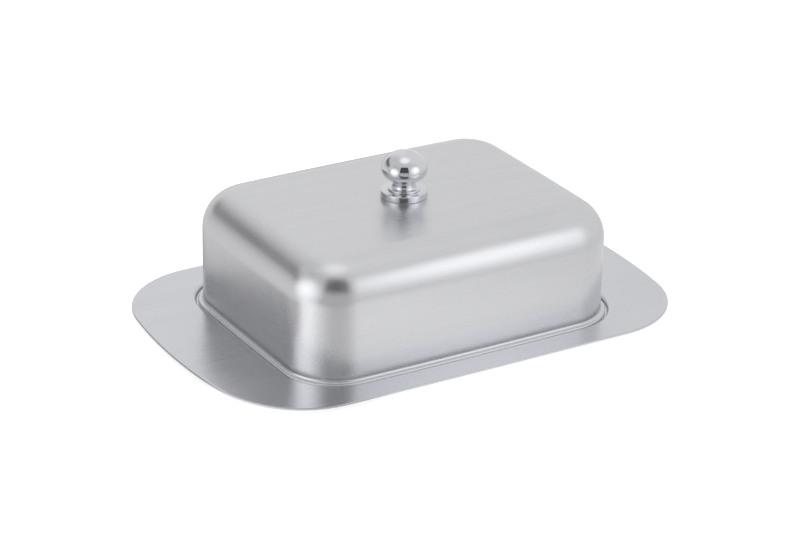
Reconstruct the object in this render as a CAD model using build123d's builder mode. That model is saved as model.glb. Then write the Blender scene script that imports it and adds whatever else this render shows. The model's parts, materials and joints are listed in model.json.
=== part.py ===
from build123d import *

# A butter dish: a pressed steel tray, a deep-drawn cover that stands in the tray's well,
# and a turned ball knob on a collar, which a screw holds to the cover from inside.
#
# The frame: +Z is up, +X runs along the dish, and the origin is at the middle of the tray's
# underside, where the dish rests on the table. All sizes are in millimetres.

import os
from math import acos, degrees, sqrt

# The cover's drawn shell
cover_length = 130.0  # outside of the wall
cover_width = 98.0
cover_height = 44.0  # from the well's floor, where the foot stands, to the flat top
cover_sheet = 0.6
cover_corner_radius = 19.3  # upright corners, outside
cover_edge_radius = 14.2  # rounded edge between the wall and the top, outside

# The cover's foot, a narrow flange that the wall bends out into
foot_reach = 1.8  # how far it stands out from the wall
foot_bend_radius = 0.8  # outside of the bend
foot_lip_radius = 0.2  # rounded cut edge

# The tray
tray_sheet = 0.8
rim_end_width = 27.5  # from the well's wall to the middle of a short end
rim_side_width = 11.25  # from the well's wall to a long side
tray_corner_radius = 34.8
tray_end_radius = 230.0  # the two short ends are bowed to this radius
tray_lip_radius = 0.25  # rounded cut edge

# The tray's well, which the cover's foot drops into
well_depth = 1.8  # from the top of the rim to the well's floor
well_clearance = 0.7  # all round the cover's foot
well_floor_radius = 0.4  # where the well's wall meets its floor
well_wall_straight = 0.1  # upright stretch between the two bends of the well's wall

# The collar between the knob and the cover
collar_radius = 8.7
collar_height = 2.6
collar_edge_radius = 0.7

# The knob: a ball, a little flattened, on a waisted neck with a small foot
ball_radius = 8.45
ball_centre_height = 10.4  # above the cover's top
ball_upper_rise = 6.8  # from the ball's widest line to its top
ball_lower_drop = 5.4  # half height of the flatter lower half
neck_radius = 4.65  # at both ends of the waist
neck_waist = 0.25  # how much the neck draws in at its middle
knob_foot_radius = 6.0
knob_foot_height = 0.7
knob_foot_edge_radius = 0.3

# The fixings under the cover's top: an M4 pan-head screw and a wide flat washer
screw_radius = 2.0
screw_length = 10.0  # under the head
screw_head_radius = 4.0
screw_head_height = 3.1
screw_head_edge_radius = 1.4
screw_tip_chamfer = 0.4
driver_slot_length = 4.4  # cross recess in the head
driver_slot_width = 0.9
driver_slot_depth = 1.6
thread_clearance = 0.1  # round the plain shank that stands for the thread
tap_extra_depth = 1.2  # blind hole left past the screw's tip
pass_clearance = 0.2  # round the screw, in the cover, the collar and the washer
washer_radius = 6.0
washer_thickness = 1.0
washer_edge_chamfer = 0.15

# How near a face or an edge lies to the height that it is looked for at
level_slack = 0.01

# Places that follow from the sizes above
floor_top = tray_sheet
rim_underside = well_depth
rim_top = well_depth + tray_sheet
well_reach = foot_reach + well_clearance
well_length = cover_length + 2 * well_reach
well_width = cover_width + 2 * well_reach
well_corner_radius = cover_corner_radius + well_reach
tray_length = well_length + 2 * rim_end_width
tray_width = well_width + 2 * rim_side_width
well_shoulder_radius = well_depth - well_floor_radius - well_wall_straight
cover_top = floor_top + cover_height
cover_ceiling = cover_top - cover_sheet
cavity_length = cover_length - 2 * cover_sheet
cavity_width = cover_width - 2 * cover_sheet
foot_top = floor_top + cover_sheet
collar_top = cover_top + collar_height
neck_bottom = collar_top + knob_foot_height
ball_centre = cover_top + ball_centre_height
knob_top = ball_centre + ball_upper_rise
neck_top = ball_centre - ball_lower_drop * sqrt(1 - (neck_radius / ball_radius) ** 2)
neck_top_angle = degrees(acos(neck_radius / ball_radius))
neck_middle = (neck_bottom + neck_top) / 2
pass_radius = screw_radius + pass_clearance
washer_bottom = cover_ceiling - washer_thickness
head_bottom = washer_bottom - screw_head_height
screw_tip = washer_bottom + screw_length


def faces_at(part, height):
    """The part's flat level faces at one height."""
    level_faces = part.faces().filter_by(Plane.XY)
    return level_faces.filter_by_position(Axis.Z, height - level_slack, height + level_slack)


def edges_at(part, height):
    """The part's level edges at one height."""
    return part.edges().filter_by_position(Axis.Z, height - level_slack, height + level_slack)


# ---- Tray: a flat rim with bowed ends, and a shallow well pressed into it ----

# A bowed end and a long straight side are joined by the corner's arc. The corner's centre
# is where that arc just touches both of them.
end_centre = Vector(tray_length / 2 - tray_end_radius, 0)
corner_y = tray_width / 2 - tray_corner_radius
corner_x = end_centre.X + sqrt((tray_end_radius - tray_corner_radius) ** 2 - corner_y**2)
corner_direction = (Vector(corner_x, corner_y) - end_centre).normalized()
end_joint = end_centre + corner_direction * tray_end_radius
side_joint = Vector(corner_x, tray_width / 2)

with BuildPart() as tray:
    with BuildSketch(Plane.XY.offset(rim_underside)):
        with BuildLine():
            Line((0, tray_width / 2), side_joint)
            RadiusArc(side_joint, end_joint, tray_corner_radius)
            RadiusArc(end_joint, (tray_length / 2, 0), tray_end_radius)
            mirror(about=Plane.XZ)
            mirror(about=Plane.YZ)
        make_face()
    extrude(amount=tray_sheet)
    fillet(edges_at(tray, rim_underside) + edges_at(tray, rim_top), tray_lip_radius)

    # The well's outside, a boss under the rim
    with BuildSketch():
        RectangleRounded(
            well_length + 2 * tray_sheet,
            well_width + 2 * tray_sheet,
            well_corner_radius + tray_sheet,
        )
    extrude(amount=rim_top - tray_lip_radius)
    fillet(edges_at(tray, 0), well_floor_radius + tray_sheet)
    underside = faces_at(tray, rim_underside)[0]
    fillet(underside.inner_wires()[0].edges(), well_shoulder_radius - tray_sheet)

    # The well's inside
    with BuildSketch(Plane.XY.offset(floor_top)):
        RectangleRounded(well_length, well_width, well_corner_radius)
    extrude(amount=well_depth, mode=Mode.SUBTRACT)
    fillet(faces_at(tray, floor_top)[0].edges(), well_floor_radius)
    fillet(faces_at(tray, rim_top)[0].inner_wires()[0].edges(), well_shoulder_radius)
tray.part.label = "tray"

# ---- Cover: a drawn shell whose wall bends out into a narrow foot ----

# The space inside the shell, one sheet's thickness in from its outside
with BuildPart() as cavity:
    with BuildSketch(Plane.XY.offset(floor_top)):
        RectangleRounded(cavity_length, cavity_width, cover_corner_radius - cover_sheet)
    extrude(amount=cover_height - cover_sheet)
    fillet(edges_at(cavity, cover_ceiling), cover_edge_radius - cover_sheet)

with BuildPart() as cover:
    with BuildSketch(Plane.XY.offset(floor_top)):
        RectangleRounded(cover_length, cover_width, cover_corner_radius)
    extrude(amount=cover_height)
    fillet(edges_at(cover, cover_top), cover_edge_radius)

    # The foot's flange, and its bend into the wall
    with BuildSketch(Plane.XY.offset(floor_top)):
        RectangleRounded(
            cover_length + 2 * foot_reach,
            cover_width + 2 * foot_reach,
            cover_corner_radius + foot_reach,
        )
    extrude(amount=cover_sheet)
    fillet(faces_at(cover, foot_top)[0].inner_wires()[0].edges(), foot_bend_radius)
    flange_rim = faces_at(cover, foot_top)[0].outer_wire().edges()
    flange_rim += faces_at(cover, floor_top)[0].outer_wire().edges()
    fillet(flange_rim, foot_lip_radius)

    add(cavity.part, mode=Mode.SUBTRACT)
    mouth = faces_at(cover, floor_top)[0].inner_wires()[0].edges()
    fillet(mouth, foot_bend_radius + cover_sheet)

    # The hole for the knob's screw
    with Locations((0, 0, cover_top)):
        Hole(pass_radius, depth=cover_sheet)
cover.part.label = "cover"

# ---- Collar: a turned disc between the knob and the cover ----

with BuildPart() as knob_collar:
    with BuildSketch(Plane.XY.offset(cover_top)):
        Circle(collar_radius)
        Circle(pass_radius, mode=Mode.SUBTRACT)
    extrude(amount=collar_height)
    fillet(edges_at(knob_collar, collar_top).sort_by(SortBy.RADIUS)[-1], collar_edge_radius)
knob_collar.part.label = "knob_collar"

# ---- Knob: one turned piece, tapped from below for the screw ----

with BuildPart() as knob:
    # The foot, the waisted neck and the lower half of the ball
    with BuildSketch(Plane.XZ):
        with BuildLine():
            Polyline(
                (neck_radius, neck_bottom),
                (knob_foot_radius, neck_bottom),
                (knob_foot_radius, collar_top),
                (0, collar_top),
                (0, ball_centre),
                (ball_radius, ball_centre),
            )
            ThreePointArc(
                (neck_radius, neck_bottom),
                (neck_radius - neck_waist, neck_middle),
                (neck_radius, neck_top),
            )
            EllipticalCenterArc(
                (0, ball_centre),
                ball_radius,
                ball_lower_drop,
                arc_size=-neck_top_angle,
            )
        make_face()
    revolve(axis=Axis.Z)
    foot_rim = edges_at(knob, collar_top) + edges_at(knob, neck_bottom)
    fillet(foot_rim.filter_by(lambda edge: edge.radius > neck_radius), knob_foot_edge_radius)

    # The upper half of the ball
    with BuildSketch(Plane.XZ):
        with BuildLine():
            Polyline((ball_radius, ball_centre), (0, ball_centre), (0, knob_top))
            EllipticalCenterArc((0, ball_centre), ball_radius, ball_upper_rise, arc_size=90)
        make_face()
    revolve(axis=Axis.Z)

    # The tapped hole
    with BuildSketch(Plane.XY.offset(collar_top)):
        Circle(screw_radius + thread_clearance)
    extrude(amount=screw_tip + tap_extra_depth - collar_top, mode=Mode.SUBTRACT)
knob.part.label = "knob"

# ---- Washer: a wide flat washer that spreads the screw's pull over the thin sheet ----

with BuildPart() as screw_washer:
    with BuildSketch(Plane.XY.offset(washer_bottom)):
        Circle(washer_radius)
        Circle(pass_radius, mode=Mode.SUBTRACT)
    extrude(amount=washer_thickness)
    rim = screw_washer.edges().filter_by(GeomType.CIRCLE).group_by(SortBy.RADIUS)[-1]
    chamfer(rim, washer_edge_chamfer)
screw_washer.part.label = "screw_washer"

# ---- Screw: a pan-head machine screw, from inside the cover up into the knob ----

with BuildPart() as knob_screw:
    with BuildSketch(Plane.XY.offset(head_bottom)):
        Circle(screw_head_radius)
    extrude(amount=screw_head_height)
    fillet(edges_at(knob_screw, head_bottom), screw_head_edge_radius)
    with BuildSketch(Plane.XY.offset(washer_bottom)):
        Circle(screw_radius)
    extrude(amount=screw_length)
    chamfer(edges_at(knob_screw, screw_tip), screw_tip_chamfer)

    # The driver's cross recess
    with BuildSketch(Plane.XY.offset(head_bottom)):
        SlotOverall(driver_slot_length, driver_slot_width)
        SlotOverall(driver_slot_length, driver_slot_width, rotation=90)
    extrude(amount=driver_slot_depth, mode=Mode.SUBTRACT)
knob_screw.part.label = "knob_screw"

os.makedirs("parts", exist_ok=True)
for piece in (tray, cover, knob_collar, knob, screw_washer, knob_screw):
    export_step(piece.part, f"parts/{piece.part.label}.step")
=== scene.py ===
# %% [markdown]
# # A steel butter dish
#
# The dish is three visible things: a tray pressed from one sheet, a cover drawn from another,
# and a turned knob on a collar. A screw and a washer inside the cover hold the knob on.
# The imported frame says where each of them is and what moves; the cells below give each one
# its real surface and its finish. Everything is in metres.

# %% Load the frame
import json
import math

import bmesh
import bpy
from mathutils import Matrix, Vector
from mathutils.geometry import intersect_sphere_sphere_2d

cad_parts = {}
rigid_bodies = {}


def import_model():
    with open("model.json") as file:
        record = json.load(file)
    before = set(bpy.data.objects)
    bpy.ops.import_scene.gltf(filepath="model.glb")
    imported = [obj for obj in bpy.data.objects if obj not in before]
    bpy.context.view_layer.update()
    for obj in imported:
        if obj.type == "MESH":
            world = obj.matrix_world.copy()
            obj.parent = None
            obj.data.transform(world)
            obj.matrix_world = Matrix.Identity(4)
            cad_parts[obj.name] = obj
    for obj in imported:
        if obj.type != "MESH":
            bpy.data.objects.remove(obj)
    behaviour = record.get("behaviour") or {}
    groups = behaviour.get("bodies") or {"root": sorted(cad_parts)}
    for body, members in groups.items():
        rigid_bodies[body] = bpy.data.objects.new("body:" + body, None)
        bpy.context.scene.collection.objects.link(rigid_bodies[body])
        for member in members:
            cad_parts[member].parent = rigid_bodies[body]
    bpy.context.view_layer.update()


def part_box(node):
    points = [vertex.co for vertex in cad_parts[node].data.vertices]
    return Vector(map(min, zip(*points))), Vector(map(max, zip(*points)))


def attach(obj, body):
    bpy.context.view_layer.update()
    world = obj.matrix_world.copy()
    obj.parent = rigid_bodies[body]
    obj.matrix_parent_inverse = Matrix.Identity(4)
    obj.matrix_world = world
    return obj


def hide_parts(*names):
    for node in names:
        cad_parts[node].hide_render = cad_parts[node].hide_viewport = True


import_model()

mm = 0.001
tray_low, tray_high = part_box("tray")
cover_low, cover_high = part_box("cover")

# %% [markdown]
# ## Drawing an outline
#
# Sheet metal starts as a flat outline, and turned metal as half a section. Both can be drawn
# the way a pen draws: put down one point, pull a straight edge from it with Extrude, and
# swing it round a centre with Spin. Adding a cylinder and cutting it down would also work,
# but the pen gives exact arcs, with as many points as each arc needs and no more.

# %% A pen made of Extrude and Spin
SHEET_AXIS = (0, 0, 1)  # arcs in a level outline turn clockwise seen from above
LATHE_AXIS = (0, 1, 0)  # arcs in an upright section turn anticlockwise seen from the front


def edit_mesh():
    """The mesh that is open in edit mode."""
    return bmesh.from_edit_mesh(bpy.context.object.data)


def pen_down(point):
    """Put one selected vertex at a point of the open mesh."""
    bpy.ops.mesh.select_all(action="DESELECT")
    bpy.ops.mesh.primitive_plane_add(size=mm, location=point)
    bpy.ops.mesh.merge(type="CENTER")


def new_piece(name):
    """Start an empty piece at the origin and open it in edit mode."""
    bpy.ops.object.select_all(action="DESELECT")
    bpy.ops.mesh.primitive_plane_add(size=mm)
    piece = bpy.context.object
    piece.name = name
    piece.data.name = name
    bpy.ops.object.mode_set(mode="EDIT")
    bpy.ops.mesh.select_mode(type="VERT")
    bpy.ops.mesh.delete(type="VERT")
    return piece


def line_to(*points):
    """Pull straight edges from the pen to each point in turn."""
    for point in points:
        place = next(v.co.copy() for v in edit_mesh().verts if v.select)
        move = Vector(point) - place
        bpy.ops.mesh.extrude_region_move(TRANSFORM_OT_translate={"value": move})


def arc(centre, degrees, steps, axis):
    """Swing the pen round a centre."""
    bpy.ops.mesh.spin(steps=steps, angle=math.radians(degrees), center=centre, axis=axis)


def select_where(test):
    """Select the open mesh's vertices whose place passes a test, and what lies between them."""
    bpy.ops.mesh.select_all(action="DESELECT")
    mesh = edit_mesh()
    for vertex in mesh.verts:
        vertex.select = test(vertex.co)
    mesh.select_flush_mode()
    bmesh.update_edit_mesh(bpy.context.object.data)
    return sum(vertex.select for vertex in mesh.verts)


# %% [markdown]
# ## The outline that both pressed pieces share
#
# The tray, its well and the cover are all oblongs with round corners, and no side of them is
# quite straight: each bows out a little, which is also what makes a long reflection in a real
# one swell and fade. A bevelled rectangle would leave dead straight sides. Here each side is
# an arc of a large circle, and the corner's arc sits where it just touches the two of them.

# %% A bowed oblong, drawn clockwise
SIDE_STEPS = 10  # points along half a side
CORNER_STEPS = 20
COVER_END_BOW = 2200 * mm
COVER_SIDE_BOW = 2600 * mm


def bowed_oblong(half_length, half_width, corner, end_bow, side_bow, height):
    """Draw a closed loop. corner, end_bow and side_bow are radii."""
    end_x = half_length - end_bow
    side_y = half_width - side_bow
    touching = intersect_sphere_sphere_2d(
        Vector((end_x, 0)), end_bow - corner, Vector((0, side_y)), side_bow - corner
    )
    corner_x, corner_y = max(touching, key=lambda place: place.x + place.y)
    end_turn = math.degrees(math.atan2(corner_y, corner_x - end_x))
    side_turn = math.degrees(math.atan2(corner_x, corner_y - side_y))
    corner_turn = 90 - end_turn - side_turn

    pen_down((0, half_width, height))
    arc((0, side_y, height), side_turn, SIDE_STEPS, SHEET_AXIS)
    arc((corner_x, corner_y, height), corner_turn, CORNER_STEPS, SHEET_AXIS)
    arc((end_x, 0, height), 2 * end_turn, 2 * SIDE_STEPS, SHEET_AXIS)
    arc((corner_x, -corner_y, height), corner_turn, CORNER_STEPS, SHEET_AXIS)
    arc((0, -side_y, height), 2 * side_turn, 2 * SIDE_STEPS, SHEET_AXIS)
    arc((-corner_x, -corner_y, height), corner_turn, CORNER_STEPS, SHEET_AXIS)
    arc((-end_x, 0, height), 2 * end_turn, 2 * SIDE_STEPS, SHEET_AXIS)
    arc((-corner_x, corner_y, height), corner_turn, CORNER_STEPS, SHEET_AXIS)
    arc((0, side_y, height), side_turn, SIDE_STEPS, SHEET_AXIS)
    bpy.ops.mesh.select_linked()
    bpy.ops.mesh.remove_doubles(threshold=0.02 * mm)


def surface_box():
    """The lowest and highest corners of the open mesh, and which way it faces on the whole."""
    mesh = edit_mesh()
    mesh.normal_update()
    low = [round(min(v.co[axis] for v in mesh.verts) / mm, 3) for axis in range(3)]
    high = [round(max(v.co[axis] for v in mesh.verts) / mm, 3) for axis in range(3)]
    facing_up = sum(face.normal.z * face.calc_area() for face in mesh.faces) > 0
    return low, high, "faces up" if facing_up else "faces down"


# %% [markdown]
# ## Pressing the sheet
#
# A press pushes flat sheet over a punch, so every section of the piece is the outline moved
# inwards by some amount and raised or lowered by some other. Inset does just that, with its
# depth: one call for each small step round a bend, and one for each stretch of wall.
# A bevel on a box gives the same bends, but it can't turn a wall out into a flange.

# %% Inset steps and quarter bends
SMOOTH_BELOW = math.radians(40)  # sharper edges than this stay crisp


def fill_upwards():
    """Fill the selected loop with one face that looks up."""
    bpy.ops.mesh.edge_face_add()
    mesh = edit_mesh()
    mesh.normal_update()
    if next(face for face in mesh.faces if face.select).normal.z < 0:
        bpy.ops.mesh.flip_normals()


def press(inwards, up=0.0):
    """Move the sheet's open part inwards and up by one step."""
    bpy.ops.mesh.inset(thickness=inwards, depth=up, use_even_offset=True)


def bend(radius, steps, from_flat, direction):
    """Turn the sheet through a quarter circle. direction is 1 for up and -1 for down."""
    quarter = math.pi / 2
    for step in range(steps):
        start = quarter * step / steps
        end = quarter * (step + 1) / steps
        leaving = radius * (math.sin(end) - math.sin(start))
        joining = radius * (math.cos(start) - math.cos(end))
        if from_flat:
            press(leaving, direction * joining)
        else:
            press(joining, direction * leaving)


def finish_sheet(piece, thickness, edge_radius):
    """Give the pressed surface its thickness, round its cut edges and smooth it."""
    bpy.ops.object.mode_set(mode="OBJECT")
    solidify = piece.modifiers.new("sheet", "SOLIDIFY")
    solidify.thickness = thickness
    solidify.offset = -1
    bpy.ops.object.modifier_apply(modifier=solidify.name)
    bevel = piece.modifiers.new("cut edge", "BEVEL")
    bevel.limit_method = "ANGLE"
    bevel.angle_limit = math.radians(60)
    bevel.width = edge_radius
    bevel.segments = 3
    bpy.ops.object.modifier_apply(modifier=bevel.name)
    bpy.ops.object.shade_smooth_by_angle(angle=SMOOTH_BELOW)


# %% [markdown]
# ## The tray
#
# The tray is one pressing: a flat rim, and a shallow well with a rounded shoulder that the
# cover's foot drops into. The rim is wide at the ends and narrow at the sides, so it isn't
# one outline moved inwards. It is two outlines: the well is pressed down from its mouth,
# then the tray's edge is drawn round it, and Bridge Edge Loops makes the rim between them.

# %% Tray sizes
SHEET = 0.8 * mm
WELL_CLEARANCE = 0.9 * mm  # round the cover's foot
SHOULDER_RADIUS = 1.3 * mm
WELL_FLOOR_RADIUS = 0.4 * mm
TRAY_CORNER = 34.8 * mm
TRAY_END_BOW = 230 * mm
TRAY_SIDE_BOW = 8000 * mm
RIM_ROWS = 22
COVER_CORNER = 19.3 * mm  # outside of the cover's wall
FOOT_REACH = 1.8 * mm
foot_corner = COVER_CORNER + FOOT_REACH
mouth_reach = WELL_CLEARANCE + SHOULDER_RADIUS
well_depth = tray_high.z - SHEET
mouth = (cover_high.x + mouth_reach, cover_high.y + mouth_reach, foot_corner + mouth_reach)
print("well's mouth, half length, half width and corner", mouth)

# %% Press the tray
tray = new_piece("pressed_tray")
bowed_oblong(*mouth, COVER_END_BOW, COVER_SIDE_BOW, tray_high.z)
fill_upwards()
bend(SHOULDER_RADIUS, 8, True, -1)
press(0, SHOULDER_RADIUS + WELL_FLOOR_RADIUS - well_depth)
bend(WELL_FLOOR_RADIUS, 5, False, -1)
press(0.5 * mm)
bowed_oblong(tray_high.x, tray_high.y, TRAY_CORNER, TRAY_END_BOW, TRAY_SIDE_BOW, tray_high.z)
on_rim = select_where(lambda place: place.z > tray_high.z - 0.01 * mm)
print("points round the rim and the well's mouth", on_rim)
bpy.ops.mesh.bridge_edge_loops(number_cuts=RIM_ROWS, interpolation="LINEAR")
bpy.ops.mesh.select_all(action="SELECT")
bpy.ops.mesh.normals_make_consistent(inside=False)
print("tray surface", surface_box())
finish_sheet(tray, SHEET, 0.2 * mm)
print("tray faces", len(tray.data.polygons), "size", tuple(tray.dimensions))

# %% [markdown]
# ## The cover
#
# The cover is a deep drawing: a narrow flange at the foot with its edge turned down, a tight
# bend, an upright wall and a wide soft bend into the flat top. It is pressed upwards from the
# flange's outline. The last loop is made round with To Sphere and shrunk to the screw's hole,
# and the long spokes left across the flat top are subdivided, so that it has rows of faces.

# %% Cover sizes
COVER_SHEET = 0.6 * mm
FOOT_LIP = 1.3 * mm  # height of the foot's turned-down edge
LIP_BEND = 0.65 * mm
FOOT_BEND = 1.0 * mm
TOP_BEND = 14.2 * mm
SCREW_HOLE = 2.2 * mm
WALL_ROWS = 6
NARROW_ROW = 0.4 * mm  # a row beside a bend, which keeps the wall's shading flat
TOP_RING = 0.5 * mm
SPOKE_CUTS = 20
wall_height = cover_high.z - cover_low.z - FOOT_LIP - FOOT_BEND - TOP_BEND
print("straight wall", wall_height)


# %% Draw the cover
def select_spokes(radius):
    """Select the open mesh's edges that cross a circle round the upright axis."""
    bpy.ops.mesh.select_all(action="DESELECT")
    bpy.ops.mesh.select_mode(type="EDGE")
    mesh = edit_mesh()
    for edge in mesh.edges:
        near, far = sorted(vertex.co.xy.length for vertex in edge.verts)
        edge.select = near < radius < far
    bmesh.update_edit_mesh(bpy.context.object.data)


cover = new_piece("drawn_cover")
bowed_oblong(cover_high.x, cover_high.y, foot_corner, COVER_END_BOW, COVER_SIDE_BOW, cover_low.z)
fill_upwards()
press(0, FOOT_LIP - LIP_BEND)
bend(LIP_BEND, 6, False, 1)
press(FOOT_REACH - FOOT_BEND - LIP_BEND)
bend(FOOT_BEND, 10, True, 1)
press(0, NARROW_ROW)
for _ in range(WALL_ROWS):
    press(0, (wall_height - 2 * NARROW_ROW) / WALL_ROWS)
press(0, NARROW_ROW)
bend(TOP_BEND, 20, False, 1)
press(TOP_RING)
press(TOP_RING)
bpy.ops.transform.tosphere(value=1)
rounded = max(v.co.xy.length for v in edit_mesh().verts if v.select)
shrink = SCREW_HOLE / rounded
bpy.ops.transform.resize(value=(shrink, shrink, 1), center_override=(0, 0, cover_high.z))
hole_points = sum(v.select for v in edit_mesh().verts)
bpy.ops.mesh.delete(type="ONLY_FACE")
print("points round the screw's hole", hole_points, "shrunk from", rounded)
select_spokes(SCREW_HOLE + 0.01 * mm)
bpy.ops.mesh.subdivide(number_cuts=SPOKE_CUTS)
print("cover surface", surface_box())
finish_sheet(cover, COVER_SHEET, 0.15 * mm)
print("cover faces", len(cover.data.polygons), "size", tuple(cover.dimensions))

# %% [markdown]
# ## The turned pieces
#
# The knob, its collar, the washer and the screw are all made on a lathe: half a section is
# drawn with the pen and Spin takes it once round the upright axis. A sphere and a few
# cylinders would leave hard joins where a cutter leaves small round ones.

# %% A lathe
LATHE_STEPS = 96


def round_corner(place, before, after, radius, steps=4):
    """Points of a small quarter arc that rounds a square corner of a section."""
    before = Vector(before)
    after = Vector(after)
    place = Vector(place)
    centre = place + radius * (before + after)
    points = []
    for step in range(steps + 1):
        turn = math.pi / 2 * step / steps
        points.append(centre - radius * (after * math.cos(turn) + before * math.sin(turn)))
    return points


def turn_on_lathe(piece):
    """Spin the drawn section once round the upright axis and close it."""
    bpy.ops.mesh.select_all(action="SELECT")
    arc((0, 0, 0), 360, LATHE_STEPS, SHEET_AXIS)
    bpy.ops.mesh.select_all(action="SELECT")
    bpy.ops.mesh.remove_doubles(threshold=0.002 * mm)
    bpy.ops.mesh.normals_make_consistent(inside=False)
    bpy.ops.object.mode_set(mode="OBJECT")
    bpy.ops.object.shade_smooth_by_angle(angle=SMOOTH_BELOW)
    print(piece.name, "faces", len(piece.data.polygons), "size", tuple(piece.dimensions))


# %% [markdown]
# ### The knob
#
# The knob is a ball a little wider than it is high, on a waisted neck with a small foot.
# The ball's upper and lower halves are quarter ellipses of different heights.

# %% Turn the knob
knob_low, knob_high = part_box("knob")
BALL_RISE = 6.8 * mm
BALL_DROP = 5.4 * mm
NECK = 4.65 * mm
NECK_WAIST = 0.3 * mm
NECK_FILLET = 0.08 * mm
NECK_STEPS = 12
DROP_STEPS = 24
RISE_STEPS = 30
KNOB_FOOT = 6.0 * mm
KNOB_FOOT_HEIGHT = 0.7 * mm
TAPPED_HOLE = 2.1 * mm
TAPPED_DEPTH = 7.0 * mm
ball = knob_high.x
ball_centre = knob_high.z - BALL_RISE
neck_turn = math.acos(NECK / ball)
neck_top = ball_centre - BALL_DROP * math.sin(neck_turn)
foot_top = knob_low.z + KNOB_FOOT_HEIGHT
neck_bottom = foot_top + NECK_FILLET


def section(radius, height):
    """A point of an upright half section."""
    return Vector((radius, 0, height))


OUT = Vector((1, 0, 0))
IN = Vector((-1, 0, 0))
UP = Vector((0, 0, 1))
DOWN = Vector((0, 0, -1))

knob = new_piece("turned_knob")
pen_down(section(0, knob_low.z + TAPPED_DEPTH))
line_to(section(TAPPED_HOLE, knob_low.z + TAPPED_DEPTH), section(TAPPED_HOLE, knob_low.z))
line_to(*round_corner(section(KNOB_FOOT, knob_low.z), IN, UP, 0.2 * mm))
line_to(*round_corner(section(KNOB_FOOT, foot_top), DOWN, IN, 0.3 * mm))
line_to(section(NECK + 0.3 * mm, foot_top), section(NECK + NECK_FILLET, neck_bottom))
for step in range(1, NECK_STEPS + 1):
    share = step / NECK_STEPS
    waist = NECK_WAIST * math.sin(math.pi * share)
    line_to(section(NECK - waist, neck_bottom + share * (neck_top - neck_bottom)))
for step in range(1, DROP_STEPS + 1):
    turn = -neck_turn * (1 - step / DROP_STEPS)
    line_to(section(ball * math.cos(turn), ball_centre + BALL_DROP * math.sin(turn)))
for step in range(1, RISE_STEPS + 1):
    turn = math.pi / 2 * step / RISE_STEPS
    line_to(section(ball * math.cos(turn), ball_centre + BALL_RISE * math.sin(turn)))
turn_on_lathe(knob)

# %% [markdown]
# ### The collar
#
# The collar is a thick disc with a softly rounded edge and a top that falls away slightly
# from the knob's foot.

# %% Turn the collar
collar_low, collar_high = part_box("knob_collar")
COLLAR_FALL = 0.10 * mm
collar_edge = collar_high.z - COLLAR_FALL
collar = new_piece("turned_collar")
pen_down(section(SCREW_HOLE, collar_high.z))
line_to(section(SCREW_HOLE, collar_low.z))
line_to(*round_corner(section(collar_high.x, collar_low.z), IN, UP, 0.25 * mm))
line_to(*round_corner(section(collar_high.x, collar_edge), DOWN, IN, 0.35 * mm, 8))
line_to(section(KNOB_FOOT + 0.2 * mm, collar_high.z), section(SCREW_HOLE, collar_high.z))
turn_on_lathe(collar)

# %% [markdown]
# ### The washer and the screw
#
# These are seen only from under the cover. The washer is a stamped ring. The screw has a
# domed pan head with a cross recess, which is cut with a Boolean by two tapered bars.

# %% Turn the washer
washer_low, washer_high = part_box("screw_washer")
washer = new_piece("flat_washer")
pen_down(section(SCREW_HOLE, washer_high.z))
line_to(*round_corner(section(SCREW_HOLE, washer_low.z), UP, OUT, 0.1 * mm))
line_to(*round_corner(section(washer_high.x, washer_low.z), IN, UP, 0.2 * mm))
line_to(*round_corner(section(washer_high.x, washer_high.z), DOWN, IN, 0.1 * mm))
line_to(section(SCREW_HOLE, washer_high.z))
turn_on_lathe(washer)

# %% Turn the screw
screw_low, screw_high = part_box("knob_screw")
HEAD_HEIGHT = 3.1 * mm
SHANK = 2.0 * mm
RECESS_REACH = 2.2 * mm
RECESS_DEPTH = 1.6 * mm
RECESS_WIDTH = 0.9 * mm
CHAMFER = 0.4 * mm
head_top = screw_low.z + HEAD_HEIGHT
head_low = screw_low.z + 0.05 * mm
under_head = 0.15 * mm

screw = new_piece("pan_head_screw")
pen_down(section(0, screw_low.z))
line_to(section(1.2 * mm, screw_low.z), section(2.4 * mm, head_low))
line_to(*round_corner(section(screw_high.x, head_low), IN, UP, 1.4 * mm, 8))
line_to(section(screw_high.x, head_top - under_head), section(screw_high.x - under_head, head_top))
line_to(section(SHANK, head_top), section(SHANK, screw_high.z - CHAMFER))
line_to(section(SHANK - CHAMFER, screw_high.z), section(0, screw_high.z))
turn_on_lathe(screw)

# %% Cut the screw's recess
bpy.ops.object.select_all(action="DESELECT")
bpy.ops.mesh.primitive_cube_add(size=1)
cutter = bpy.context.object
cutter.dimensions = (2 * RECESS_REACH, RECESS_WIDTH, 2 * RECESS_DEPTH)
bpy.ops.object.transform_apply(location=True, rotation=True, scale=True)
bpy.ops.object.mode_set(mode="EDIT")
select_where(lambda place: place.z > 0)
bpy.ops.transform.resize(value=(0.45, 0.7, 1), center_override=(0, 0, RECESS_DEPTH))
bpy.ops.mesh.select_all(action="SELECT")
bpy.ops.transform.translate(value=(0, 0, screw_low.z))
bpy.ops.mesh.duplicate()
bpy.ops.transform.rotate(value=math.pi / 2, orient_axis="Z", center_override=(0, 0, screw_low.z))
bpy.ops.object.mode_set(mode="OBJECT")
bpy.context.view_layer.objects.active = screw
recess = screw.modifiers.new("recess", "BOOLEAN")
recess.operation = "DIFFERENCE"
recess.object = cutter
recess.solver = "EXACT"
recess.use_self = True
bpy.ops.object.modifier_apply(modifier=recess.name)
bpy.data.objects.remove(cutter)
bpy.ops.object.select_all(action="DESELECT")
screw.select_set(True)
bpy.ops.object.shade_smooth_by_angle(angle=math.radians(30))
print("screw faces", len(screw.data.polygons))

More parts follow.
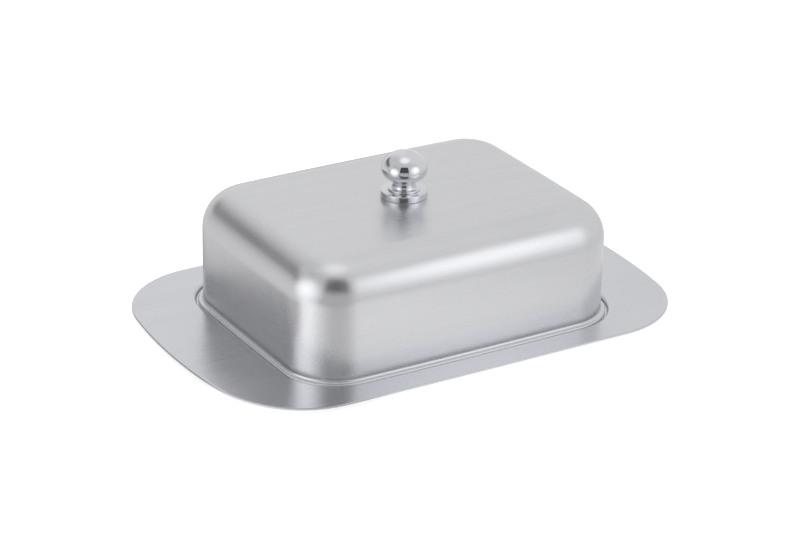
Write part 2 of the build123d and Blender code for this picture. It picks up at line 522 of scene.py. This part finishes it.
# %% [markdown]
# ## Writing a finish as sums
#
# Node trees are quick to drag about but slow to read, so the maths is written as ordinary
# sums: a Varying is a number that changes over the surface, and adding or multiplying two of
# them adds the Math node that does it. Every other node comes from Finish.node.

# %% Varying numbers and finishes
class Varying:
    """A number that changes over the surface, as the output of a node."""

    def __init__(self, finish, socket):
        self.finish = finish
        self.socket = socket

    def maths(self, operation, first, second):
        made = self.finish.node("ShaderNodeMath", {"operation": operation}, {0: first, 1: second})
        return Varying(self.finish, made.outputs[0])

    def __add__(self, other):
        return self.maths("ADD", self, other)

    def __sub__(self, other):
        return self.maths("SUBTRACT", self, other)

    def __rsub__(self, other):
        return self.maths("SUBTRACT", other, self)

    def __mul__(self, other):
        return self.maths("MULTIPLY", self, other)

    def at_least(self, other):
        return self.maths("MAXIMUM", self, other)

    def at_most(self, other):
        return self.maths("MINIMUM", self, other)

    __radd__ = __add__
    __rmul__ = __mul__


class Finish:
    """A material or a world, and the nodes in it."""

    def __init__(self, owner):
        owner.use_nodes = True
        self.owner = owner
        self.tree = owner.node_tree
        self.tree.nodes.clear()

    def node(self, kind, settings, sockets):
        """Add a node: its settings first, then the values or links of its sockets."""
        made = self.tree.nodes.new(kind)
        for name, value in settings.items():
            setattr(made, name, value)
        for name, value in sockets.items():
            if isinstance(value, Varying):
                value = value.socket
            if isinstance(value, bpy.types.NodeSocket):
                self.tree.links.new(value, made.inputs[name])
            else:
                made.inputs[name].default_value = value
        return made

    def object_place(self):
        """Where a point is, in metres from the origin."""
        return self.node("ShaderNodeTexCoord", {}, {}).outputs["Object"]

    def noise(self, place, scale, detail):
        """Soft noise from 0 to 1. scale is the number of cells to a metre along X, Y and Z."""
        mapping = self.node("ShaderNodeMapping", {}, {"Vector": place, "Scale": scale})
        sockets = {"Vector": mapping.outputs[0], "Scale": 1.0, "Detail": detail}
        return Varying(self, self.node("ShaderNodeTexNoise", {}, sockets).outputs[0])

    def ramp(self, value, low, high, to_low=0.0, to_high=1.0):
        """Smoothly map low..high to to_low..to_high, and hold the ends."""
        sockets = {0: value, 1: low, 2: high, 3: to_low, 4: to_high}
        made = self.node("ShaderNodeMapRange", {"interpolation_type": "SMOOTHSTEP"}, sockets)
        return Varying(self, made.outputs[0])

    def colour(self, factor, first, second):
        """A mix of two colours."""
        made = self.node("ShaderNodeMix", {"data_type": "RGBA"}, {0: factor, 6: first, 7: second})
        return made.outputs[2]

    def surface(self, shader):
        """Use a shader for the whole surface."""
        self.node("ShaderNodeOutputMaterial", {}, {"Surface": shader})

    def metal(self, tone, roughness, relief, distance, strength=1.0):
        """Bare metal with a fine relief. distance is the relief's full height."""
        sockets = {"Strength": strength, "Distance": distance, "Height": relief}
        bump = self.node("ShaderNodeBump", {}, sockets)
        sockets = {
            "Base Color": tone,
            "Metallic": 1.0,
            "Roughness": roughness,
            "Normal": bump.outputs[0],
        }
        self.surface(self.node("ShaderNodeBsdfPrincipled", {}, sockets).outputs[0])


def grey(value, warmth=0.0):
    """A nearly neutral colour. A little negative warmth makes it bluish."""
    return (value * (1 + 0.4 * warmth), value, value * (1 - 2.2 * warmth), 1)


# %% [markdown]
# ## Brushed steel
#
# A belt of fine abrasive leaves grooves a tenth of a millimetre apart and a few centimetres
# long, and washing softens them to a satin. Close to, the grooves show. From an arm's length
# they blur every reflection nearly alike in all directions. An anisotropic shader would smear
# it one way, and its direction follows the piece's middle, not the belt. So the roughness is
# that of the satin, and the grooves are noise stretched along the brushing, faint in the
# tone, the roughness and the bump.
#
# The belt runs along the dish on the top, the rim and the long walls. On the two end walls
# it runs round the cover, so a painted attribute says which way each point faces.

# %% Mark the end walls, and the cut edges that get painted shade
def mark_surface(piece):
    """Store, for each vertex, how far it faces an end, and whether it is on a sharp edge, which
    gets painted shade.
    """
    mesh = bmesh.new()
    mesh.from_mesh(piece.data)
    mesh.normal_update()
    faces_end = [min(1.0, max(0.0, (abs(v.normal.x) - 0.35) / 0.3)) for v in mesh.verts]
    shaded_edge = []
    for vertex in mesh.verts:
        angles = [edge.calc_face_angle(0.0) for edge in vertex.link_edges]
        shaded_edge.append(1.0 if max(angles) > math.radians(18) else 0.0)
    mesh.free()
    for name, values in (("faces_end", faces_end), ("shaded_edge", shaded_edge)):
        attribute = piece.data.attributes.new(name, "FLOAT", "POINT")
        attribute.data.foreach_set("value", values)
    print(piece.name, "edge points", int(sum(shaded_edge)))


for piece in (tray, cover):
    mark_surface(piece)

# %% Brushed steel
def brushed_steel(name, roughness, shade, tint):
    """Satin steel with long fine grooves along the dish. Each pressing has its own tint."""
    finish = Finish(bpy.data.materials.new(name))
    place = finish.object_place()

    def painted(attribute):
        made = finish.node("ShaderNodeAttribute", {"attribute_name": attribute}, {})
        return Varying(finish, made.outputs["Fac"])

    end = painted("faces_end")
    edge = painted("shaded_edge")

    def grooves(pitch, length, detail):
        on_sides = finish.noise(place, (1 / length, 1 / pitch, 1 / pitch), detail)
        on_ends = finish.noise(place, (1 / pitch, 1 / length, 1 / pitch), detail)
        return on_sides * (1 - end) + on_ends * end

    fine = grooves(0.06 * mm, 12 * mm, 1.0)
    middle = grooves(0.5 * mm, 50 * mm, 2.0)
    broad = grooves(5 * mm, 140 * mm, 1.0)
    cloud = finish.noise(place, (38, 38, 38), 3.0)
    scratch = finish.ramp(grooves(0.3 * mm, 9 * mm, 1.0), 0.70, 0.78)

    brightness = 0.45 + 0.20 * (fine - 0.5) + 0.35 * (middle - 0.5) + 0.3 * (broad - 0.5)
    brightness = brightness + 0.25 * (cloud - 0.5) - 0.12 * scratch
    brightness = brightness.at_least(0).at_most(1)
    tone = finish.colour(brightness, grey(shade * 0.90, tint), grey(shade * 1.08, tint))
    # Painted shade: the tone is darker on the sharp cut edges.
    tone = finish.colour(edge, tone, grey(shade * 0.72, tint))
    gloss = roughness + 0.06 * (fine - 0.5) + 0.08 * (middle - 0.5) + 0.08 * (cloud - 0.5)
    gloss = gloss - 0.08 * edge + 0.06 * scratch
    finish.metal(tone, gloss.at_least(0.08), fine + 0.5 * middle - 0.5 * scratch, 0.006 * mm)
    return finish.owner


# %% [markdown]
# ## Polished chrome and plain steel
#
# The knob and its collar are plated and buffed: nearly a mirror, with a faint haze of
# fingerprints and hair-fine polishing marks. The fixings inside are bright but unpolished,
# with the circles that the lathe left.

# %% Chrome
def polished_chrome():
    """A buffed mirror with a little haze."""
    finish = Finish(bpy.data.materials.new("polished_chrome"))
    place = finish.object_place()
    haze = finish.ramp(finish.noise(place, (160, 160, 160), 4.0), 0.45, 0.75)
    hairline = finish.ramp(finish.noise(place, (900, 900, 9000), 2.0), 0.60, 0.72)
    tone = finish.colour(haze, grey(0.76, -0.018), grey(0.68, -0.018))
    finish.metal(tone, 0.035 + 0.05 * haze + 0.03 * hairline, hairline, 0.001 * mm, 0.3)
    return finish.owner


# %% Plain turned steel
def turned_steel():
    """Unpolished steel with fine circles round the upright axis."""
    finish = Finish(bpy.data.materials.new("turned_steel"))
    place = finish.object_place()
    times = {"operation": "MULTIPLY"}
    level_place = finish.node("ShaderNodeVectorMath", times, {0: place, 1: (1, 1, 0)}).outputs[0]
    radius = finish.node("ShaderNodeVectorMath", {"operation": "LENGTH"}, {0: level_place})
    circles = finish.node("ShaderNodeCombineXYZ", {}, {0: radius.outputs["Value"]})
    rings = finish.noise(circles.outputs[0], (5000, 1, 1), 3.0)
    cloud = finish.noise(place, (400, 400, 400), 3.0)
    tone = finish.colour(0.5 * rings + 0.5 * cloud, grey(0.42), grey(0.6))
    finish.metal(tone, 0.24 + 0.2 * cloud, rings, 0.008 * mm)
    return finish.owner


# %% Put the finishes on and hand the pieces to the frame
chrome = polished_chrome()
fixing_steel = turned_steel()
hand_over = (
    (tray, "tray", "tray", "brushed_tray", brushed_steel("brushed_tray", 0.26, 0.73, -0.024)),
    (cover, "cover", "cover", "brushed_cover", brushed_steel("brushed_cover", 0.285, 0.73, -0.012)),
    (knob, "knob", "cover", "polished_knob", chrome),
    (collar, "knob_collar", "cover", "polished_knob", chrome),
    (washer, "screw_washer", "cover", "plain_fixings", fixing_steel),
    (screw, "knob_screw", "cover", "plain_fixings", fixing_steel),
)
for piece, node, body, slot, material in hand_over:
    piece.data.materials.clear()
    piece.data.materials.append(material)
    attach(piece, body)
    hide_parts(node)
    print(piece.name, "rides on", body, "and stands for", node)

# %% [markdown]
# ## The camera
#
# A long lens about a metre away, a little above the dish and round to its left.

# %% Camera
AZIMUTH = math.radians(-31.442)
ELEVATION = math.radians(24.612)
ROLL = math.radians(1.249)
DISTANCE = 1.0135
FOCAL_LENGTH = 124.42  # in millimetres, as a lens is marked
MIDDLE_HEIGHT = 20 * mm  # above the rim
AIM_LEFT = 0.776 * mm
AIM_DOWN = 8.593 * mm
level_back = Vector((math.sin(AZIMUTH), -math.cos(AZIMUTH), 0))
back = math.cos(ELEVATION) * level_back + Vector((0, 0, math.sin(ELEVATION)))
right = Vector((math.cos(AZIMUTH), math.sin(AZIMUTH), 0))
up = back.cross(right)
aim = Vector((0, 0, tray_high.z + MIDDLE_HEIGHT)) - AIM_LEFT * right - AIM_DOWN * up
camera_data = bpy.data.cameras.new("camera")
camera_data.lens = FOCAL_LENGTH
camera_data.sensor_width = 36
camera = bpy.data.objects.new("camera", camera_data)
bpy.context.scene.collection.objects.link(camera)
rolled_right = math.cos(ROLL) * right + math.sin(ROLL) * up
rolled_up = math.cos(ROLL) * up - math.sin(ROLL) * right
turn = Matrix((rolled_right, rolled_up, back)).transposed()
camera.matrix_world = Matrix.Translation(aim + DISTANCE * back) @ turn.to_4x4()
bpy.context.scene.camera = camera
print("camera at", tuple(camera.matrix_world.translation))

# %% [markdown]
# ## The studio
#
# Polished metal shows the room, so the room is what is lit. The dish stands in a small white
# tent, open towards the camera. A lamp shines on the tent's wall to each side of the opening,
# and its roof is bright. All of it could be painted on the world's sky, but then every point
# of the metal would see it in the same direction, and reflections wouldn't bend round the
# corners as those of something near do. So what is near is really there: the floor, and three
# upright screens that only the metal sees. The roof and the back wall are the world's sky.
# The camera sees a plain white sweep with a soft shadow. The metal sees the floor glow with painted
# shadows and pools of light.

# %% Directions seen from the camera
def placed(bearing, distance, height):
    """A place round the dish. bearing is in degrees to the right of the camera."""
    turn = math.radians(bearing)
    level = math.sin(turn) * right + math.cos(turn) * level_back
    return distance * level + Vector((0, 0, height))


def along(finish, place, axis):
    """How far a place or direction lies along an axis."""
    made = finish.node("ShaderNodeVectorMath", {"operation": "DOT_PRODUCT"}, {0: place, 1: axis})
    return Varying(finish, made.outputs["Value"])


def glow(finish, strength, tint=0.0):
    """A shader that gives off light of a varying strength."""
    made = finish.node("ShaderNodeEmission", {}, {"Color": grey(1.0, tint), "Strength": strength})
    return made.outputs[0]


def flat_panel(name, first, *others):
    """One face between a few corners, for the studio."""
    panel = new_piece(name)
    pen_down(first)
    line_to(*others)
    bpy.ops.mesh.select_all(action="SELECT")
    bpy.ops.mesh.edge_face_add()
    bpy.ops.object.mode_set(mode="OBJECT")
    print(name, "size", tuple(panel.dimensions))
    return panel


# %% Floor
FLOOR_HALF = 6
FLOOR_HEIGHT = -0.02 * mm
floor = flat_panel(
    "floor",
    (-FLOOR_HALF, -FLOOR_HALF, FLOOR_HEIGHT),
    (FLOOR_HALF, -FLOOR_HALF, FLOOR_HEIGHT),
    (FLOOR_HALF, FLOOR_HALF, FLOOR_HEIGHT),
    (-FLOOR_HALF, FLOOR_HALF, FLOOR_HEIGHT),
)

# %% What the metal sees of the floor, painted with shadows and pools of light
TENT_MOUTH = 0.19  # from the middle of the dish towards the camera
sweep = Finish(bpy.data.materials.new("floor"))
floor_place = sweep.object_place()
sideways = along(sweep, floor_place, right)
forwards = along(sweep, floor_place, level_back)
near_corner = 0.7 * Vector((cover_low.x, cover_low.y, 0))  # the middle of the corner's bend
from_corner = sideways - near_corner.dot(right)
towards = forwards - near_corner.dot(level_back)
turned = from_corner.maths("ARCTAN2", from_corner, towards) * math.degrees(1)
# Painted shadow: for the metal the floor is darker just left of the dish.
shadow_beside = sweep.ramp(sideways, -0.130, -0.085, 0.74, 0.41)
# Painted light: a bright pool of lamplight on the floor further round to the left.
lit_left = sweep.ramp(turned, -80, -58)
left_floor = shadow_beside * (1 - lit_left) + 1.25 * lit_left
left_side = sweep.ramp(turned, -30, 0, 1.0, 0.0)
# Darker towards the right.
right_floor = sweep.ramp(sideways, 0.04, 0.17, 0.91, 0.73)
tent_floor = left_floor * left_side + right_floor * (1 - left_side)
# Painted shade: a darker wedge on the floor in front of the cover's corner. The floor is darker
# again beyond the tent's mouth.
tent_floor = tent_floor * sweep.ramp(turned * turned, 9**2, 50**2, 0.66, 1.0)
tent_floor = tent_floor * sweep.ramp(forwards, TENT_MOUTH - 0.04, TENT_MOUTH, 1.0, 0.3)
# Only reflections see this painted glow. The camera sees a white card.
mirrored = sweep.node("ShaderNodeLightPath", {}, {}).outputs["Is Glossy Ray"]
white_card = {
    "Base Color": grey(0.5),
    "Roughness": 0.9,
    "Specular IOR Level": 0.1,
    "Emission Color": grey(1.0),
    "Emission Strength": 0.75,
}
white = sweep.node("ShaderNodeBsdfPrincipled", {}, white_card).outputs[0]
dimmer = glow(sweep, tent_floor, 0.002)
either = sweep.node("ShaderNodeMixShader", {}, {0: mirrored, 1: white, 2: dimmer})
sweep.surface(either.outputs[0])
floor.data.materials.append(sweep.owner)


# %% Screens round the tent's mouth
SCREEN_TOP = 0.26
LAMP_DISTANCE = 0.19


def tent_screen(name, left_edge, right_edge, distance, paint):
    """Put up an upright screen between two bearings. paint makes its brightness."""
    screen = flat_panel(
        name,
        placed(left_edge, distance, 0),
        placed(right_edge, distance, 0),
        placed(right_edge, distance, SCREEN_TOP),
        placed(left_edge, distance, SCREEN_TOP),
    )
    finish = Finish(bpy.data.materials.new(name))
    finish.surface(glow(finish, paint(finish, finish.object_place()), -0.004))
    screen.data.materials.append(finish.owner)
    screen.visible_camera = False
    screen.visible_diffuse = False
    screen.visible_shadow = False


def lamp_spot(bearing, height, peak, rest):
    """A soft round spot of lamplight on a screen."""
    centre = placed(bearing, LAMP_DISTANCE, height)

    def paint(finish, place):
        measure = {"operation": "DISTANCE"}
        away = finish.node("ShaderNodeVectorMath", measure, {0: place, 1: centre})
        return finish.ramp(Varying(finish, away.outputs["Value"]), 0.010, 0.120, peak, rest)

    return paint


def dark_opening(finish, place):
    """The opening: black above a low sill."""
    return finish.ramp(along(finish, place, (0, 0, 1)), 0.062, 0.102, 0.52, 0.08)


tent_screen("tent_left", -72, -26, 0.21, lamp_spot(-50, 0.07, 1.48, 0.58))
tent_screen("tent_right", 23, 84, 0.21, lamp_spot(58, 0.115, 1.42, 0.70))
tent_screen("tent_mouth", -22, 22, 0.205, dark_opening)

# %% Soft light for the floor
LAMP_HEIGHT = 1.6
overhead = bpy.data.lights.new("overhead", "AREA")
overhead.shape = "RECTANGLE"
overhead.size = 2.0
overhead.size_y = 1.6
overhead.energy = 10
lamp = bpy.data.objects.new("overhead", overhead)
lamp.location = (0, 0, LAMP_HEIGHT)
lamp.visible_camera = False
lamp.visible_glossy = False
bpy.context.scene.collection.objects.link(lamp)
print("overhead lamp", overhead.energy, "W at", LAMP_HEIGHT, "m")

# %% Roof and back wall
world = bpy.data.worlds.new("studio")
bpy.context.scene.world = world
room = Finish(world)
direction = room.node("ShaderNodeTexCoord", {}, {}).outputs["Generated"]
to_right = along(room, direction, right)
to_camera = along(room, direction, level_back)
to_zenith = along(room, direction, (0, 0, 1))
bearing = to_right.maths("ARCTAN2", to_right, to_camera) * math.degrees(1)
height = to_zenith.maths("ARCSINE", to_zenith.at_least(-1).at_most(1), 0.0) * math.degrees(1)
back_wall = room.ramp(bearing * bearing, 120**2, 165**2) + room.ramp(bearing, 50, 85)
back_wall = back_wall.at_most(1) * room.ramp(to_right, -0.03, 0.09, 1.0, 0.75)
left_corner = room.ramp(bearing, -150, -132) * room.ramp(bearing, -101, -83, 1.0, 0.0)
left_corner = left_corner * room.ramp(height, 8, 18) * room.ramp(height, 25, 35, 1.0, 0.0)
light = (0.66 + 0.165 * back_wall) * (1 - left_corner) + 0.20 * left_corner
zenith = room.ramp(height, 64, 82)
light = light * (1 - zenith) + 1.10 * zenith
seen = Varying(room, room.node("ShaderNodeLightPath", {}, {}).outputs["Is Camera Ray"])
light = light * (1 - seen) + 1.02 * seen
background = room.node("ShaderNodeBackground", {}, {"Color": grey(1.0), "Strength": light})
room.node("ShaderNodeOutputWorld", {}, {"Surface": background.outputs[0]})
bpy.context.scene.view_settings.view_transform = "Standard"
print("world nodes", len(room.tree.nodes))
